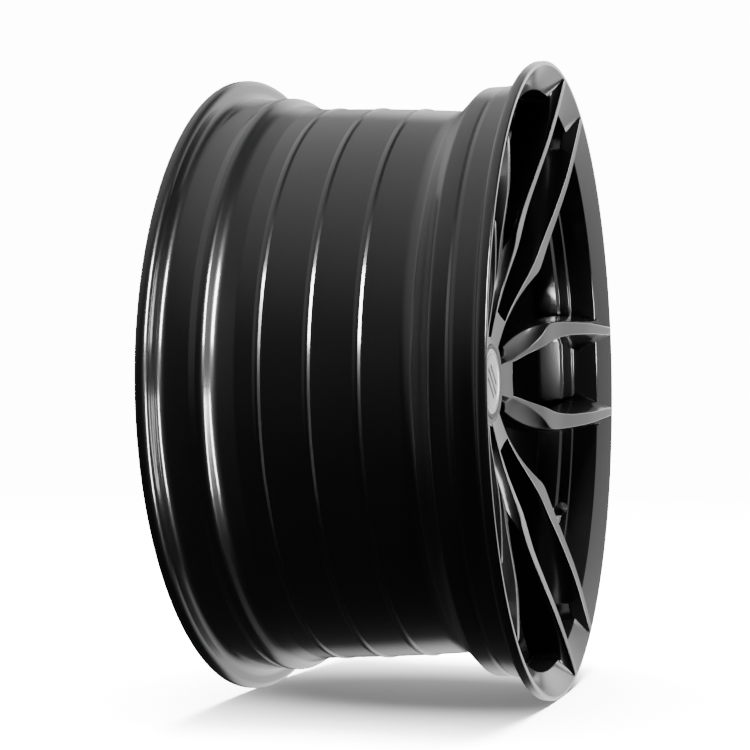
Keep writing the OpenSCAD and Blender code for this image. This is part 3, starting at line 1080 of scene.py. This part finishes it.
@dataclass
class Studio:
    """A white floor, a white surround, the lamps and the camera."""

    floor_z: float = CAD_BOUNDS[0][2]
    backdrop: float = 14.0
    eye: tuple[float, float, float] = (-1.4129, -0.3793, -0.0633)
    target: tuple[float, float, float] = (0.0, 0.035, 0.0)
    lens: float = 79.26
    shift: tuple[float, float] = (-0.0464, 0.0100)
    glows: tuple[Glow, ...] = (
        Glow((0.62, -0.78, -0.03), edge=0.5, strength=1.4),
        Glow((0.0, 0.75, 0.65), edge=0.3, strength=0.9),
        Glow((0.89, -0.1, 0.44), edge=0.88, strength=2.4),
        Glow((0.89, -0.1, -0.44), edge=0.88, strength=2.0),
    )
    dimmest: float = 0.04
    near_glow: float = 0.2
    fade: tuple[float, float] = (0.06, 0.5)
    lamps: tuple[Softbox, ...] = (
        Softbox("overhead", (0.1, 0.0, 2.6), (0, 0, -0.27), (2.6, 2.6), 400, mirrored=False),
        Softbox("floor_wash", (0.1, 0.0, 1.5), (0, 0, -0.27), (1.1, 1.1), 700, mirrored=False, only="floor"),
        Softbox("front_high", (-1.49, -1.24, 0.86), (-0.2, 0.03, 0), (0.5, 0.95), 330, only="streaked"),
        Softbox("front_low", (-1.08, -1.62, -0.68), (-0.2, 0.03, 0), (0.4, 1.1), 250, only="streaked"),
        Softbox("edge_light", (0.35, -1.8, 0.15), (0, -0.1, 0), (0.6, 1.6), 70, only="edged"),
    )

    def build(self) -> None:
        """Builds the floor, the surround, the lamps and the camera."""
        bm = bmesh.new()
        bmesh.ops.create_grid(bm, x_segments=1, y_segments=1, size=6)
        floor = finish_mesh(bm, "floor")
        floor.location.z = self.floor_z
        floor.data.materials.append(self._floor_paint())
        floor.visible_glossy = floor.visible_diffuse = floor.visible_shadow = False
        names = ("streaked", "edged", "shadowing", "floor")
        groups = {name: bpy.data.collections.new(name) for name in names}
        for piece in bpy.context.scene.objects:
            if piece.type == "MESH" and piece != floor:
                groups["shadowing"].objects.link(piece)
                groups["streaked" if piece.name == "barrel" else "edged"].objects.link(piece)
        groups["floor"].objects.link(floor)
        self._flag()
        for lamp in self.lamps:
            lamp.build(groups)
        self._surround()
        data = bpy.data.cameras.new("camera")
        data.lens, data.sensor_width = self.lens, 36
        data.shift_x, data.shift_y = self.shift
        camera = new_object("camera", data)
        camera.location = self.eye
        camera.rotation_euler = (Vector(self.target) - Vector(self.eye)).to_track_quat("-Z", "Y").to_euler()
        bpy.context.scene.camera = camera

    def _floor_paint(self) -> Material:
        """Returns the floor's white, which blends into the backdrop away from the wheel."""
        paint = self._matte("floor_white", 0.9)
        tree = paint.node_tree
        shader = tree.nodes["Principled BSDF"]
        shader.inputs["Roughness"].default_value = 0.85
        shader.inputs["Emission Color"].default_value = (1, 1, 1, 1)
        start, end = self.fade
        coords = add_node(tree, "TexCoord")
        drawn = add_node(tree, "VectorMath", "MULTIPLY")
        drawn.inputs[1].default_value = (1, 0.5, 1)
        far = add_node(tree, "VectorMath", "LENGTH")
        ramp = add_node(
            tree, "MapRange", From_Min=start, From_Max=end, To_Min=self.near_glow, To_Max=self.backdrop
        )
        ramp.interpolation_type = "SMOOTHSTEP"
        wire(
            tree,
            (coords, "Object", drawn, 0), (drawn, "Vector", far, 0), (far, "Value", ramp, "Value"),
            (ramp, "Result", shader, "Emission Strength"),
        )
        return paint

    @staticmethod
    def _matte(name: str, grey: float) -> Material:
        """Returns a plain grey material without any gloss."""
        paint = bpy.data.materials.new(name)
        paint.use_nodes = True
        shader = paint.node_tree.nodes["Principled BSDF"]
        shader.inputs["Base Color"].default_value = (grey, grey, grey, 1)
        shader.inputs["Specular IOR Level"].default_value = 0
        return paint

    def _flag(self) -> None:
        """Hangs a black flag that keeps the streak lamps out of the open front of the wheel."""
        bm = bmesh.new()
        upright = Matrix.Rotation(math.pi / 2, 4, "X")
        bmesh.ops.create_grid(bm, x_segments=1, y_segments=1, size=0.5, matrix=upright)
        bmesh.ops.scale(bm, verts=bm.verts, vec=(0.48, 1, 1))
        bmesh.ops.translate(bm, verts=bm.verts, vec=(-0.2, -0.3, 0))
        flag = finish_mesh(bm, "black_flag")
        flag.data.materials.append(self._matte("flag_black", 0.0))
        flag.visible_camera = flag.visible_diffuse = False

    def _surround(self) -> None:
        """Gives the world a white backdrop for the camera, and soft glows for all that the wheel mirrors."""
        world = bpy.data.worlds.new("surround")
        world.use_nodes = True
        bpy.context.scene.world = world
        tree = world.node_tree
        coords = add_node(tree, "TexCoord")
        total = add_node(tree, "Value")
        total.outputs[0].default_value = self.dimmest
        for glow in self.glows:
            lobe = add_node(tree, "VectorMath", "DOT_PRODUCT")
            lobe.inputs[1].default_value = glow.towards
            ramp = add_node(tree, "MapRange", From_Min=glow.edge, To_Max=glow.strength)
            ramp.interpolation_type = "SMOOTHSTEP"
            so_far, total = total, add_node(tree, "Math", "ADD")
            wire(
                tree,
                (coords, "Generated", lobe, 0), (lobe, "Value", ramp, "Value"),
                (so_far, 0, total, 0), (ramp, "Result", total, 1),
            )
        back = tree.nodes["Background"]
        plain = add_node(tree, "Background", Strength=self.backdrop)
        for light in (back, plain):
            light.inputs["Color"].default_value = (1, 1, 1, 1)
        path = add_node(tree, "LightPath")
        mix = add_node(tree, "MixShader")
        wire(
            tree,
            (total, 0, back, "Strength"), (path, "Is Camera Ray", mix, 0), (back, 0, mix, 1),
            (plain, 0, mix, 2), (mix, 0, tree.nodes["World Output"], "Surface"),
        )


# ---------- Assembly ----------


class Wheel:
    """The whole wheel: forged pieces, centre cap, tyre valve and their finishes."""

    def __init__(self) -> None:
        """Builds the shared shader groups and the finishes."""
        groups = {"skin": skin_group(), "polish": wear_group(), "dust": dust_group(), "rings": lathe_group()}
        self.materials = {slot: finish.build(groups) for slot, finish in FINISHES.items()}
        self.valve = Valve()
        self.hub = Hub()

    def build(self) -> None:
        """Builds every piece and dresses the CAD nodes that stay as they are."""
        self._forging()
        self._cap()
        self._valve()

    def _add(self, piece: Object, slot: str, body: Body, *nodes: str) -> None:
        """Dresses a new piece and has it stand for CAD nodes."""
        dress(piece, self.materials[slot], body)
        if nodes:
            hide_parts(*nodes)
        LOG.info("%s: %s faces", piece.name, len(piece.data.polygons))

    def _forging(self) -> None:
        """Builds the barrel, the hub and the five twin spokes."""
        self._add(Barrel().build(self.valve), "wheel_black", Body.WHEEL, "rim_barrel")
        self._add(self.hub.build(), "wheel_black", Body.WHEEL, "hub")
        for number in range(1, SPOKES + 1):
            lugs = [self.hub.recess(number - 1), self.hub.recess(number - 2)]
            spoke = TwinSpoke(number).build(lugs)
            self._add(spoke, "wheel_black", Body.WHEEL, f"twin_spoke_{number}")

    def _cap(self) -> None:
        """Builds the cap's disc with its relief and dresses the rest of the cap."""
        disc, relief = CentreCap().build()
        self._add(disc, "cap_silver", Body.CAP, "cap_disc")
        self._add(relief, "cap_black", Body.CAP)
        self._keep("cap_body", "cap_black", 0.35)
        self._keep("cap_clip_ring", "spring_steel")

    def _valve(self) -> None:
        """Builds the valve's stem and cap and dresses the rest of it."""
        self._add(self.valve.stem(), "valve_metal", Body.WHEEL, "valve_stem")
        self._add(self.valve.cap(), "valve_black", Body.VALVE_CAP, "valve_cap")
        self._keep("valve_seal", "valve_rubber", 0.2)
        self._keep("valve_washer", "valve_metal", 0.2)
        self._keep("valve_nut", "valve_metal", 0.5)
        for node in ("core_body", "core_pin"):
            self._keep(node, "core_brass")
        self._add(self.valve.spring(), "spring_steel", Body.CORE_PIN, "core_spring")
        self._keep("core_seal", "core_white")
        for node in ("poppet_seal", "valve_cap_seal"):
            self._keep(node, "valve_rubber")

    def _keep(self, node: str, slot: str, rounding: float = 0.0) -> None:
        """Gives a CAD node that is shown as it is its finish, and rounds its edges."""
        piece = frame["nodes"][node]
        dress(piece, self.materials[slot])
        if rounding:
            soften(piece, rounding)
        LOG.info("%s: kept, dressed as %s", node, slot)


def main() -> None:
    """Builds the wheel and the studio."""
    logging.basicConfig(level=logging.INFO)
    Wheel().build()
    Studio().build()
    LOG.info("sizes written")


if __name__ == "__main__":
    main()
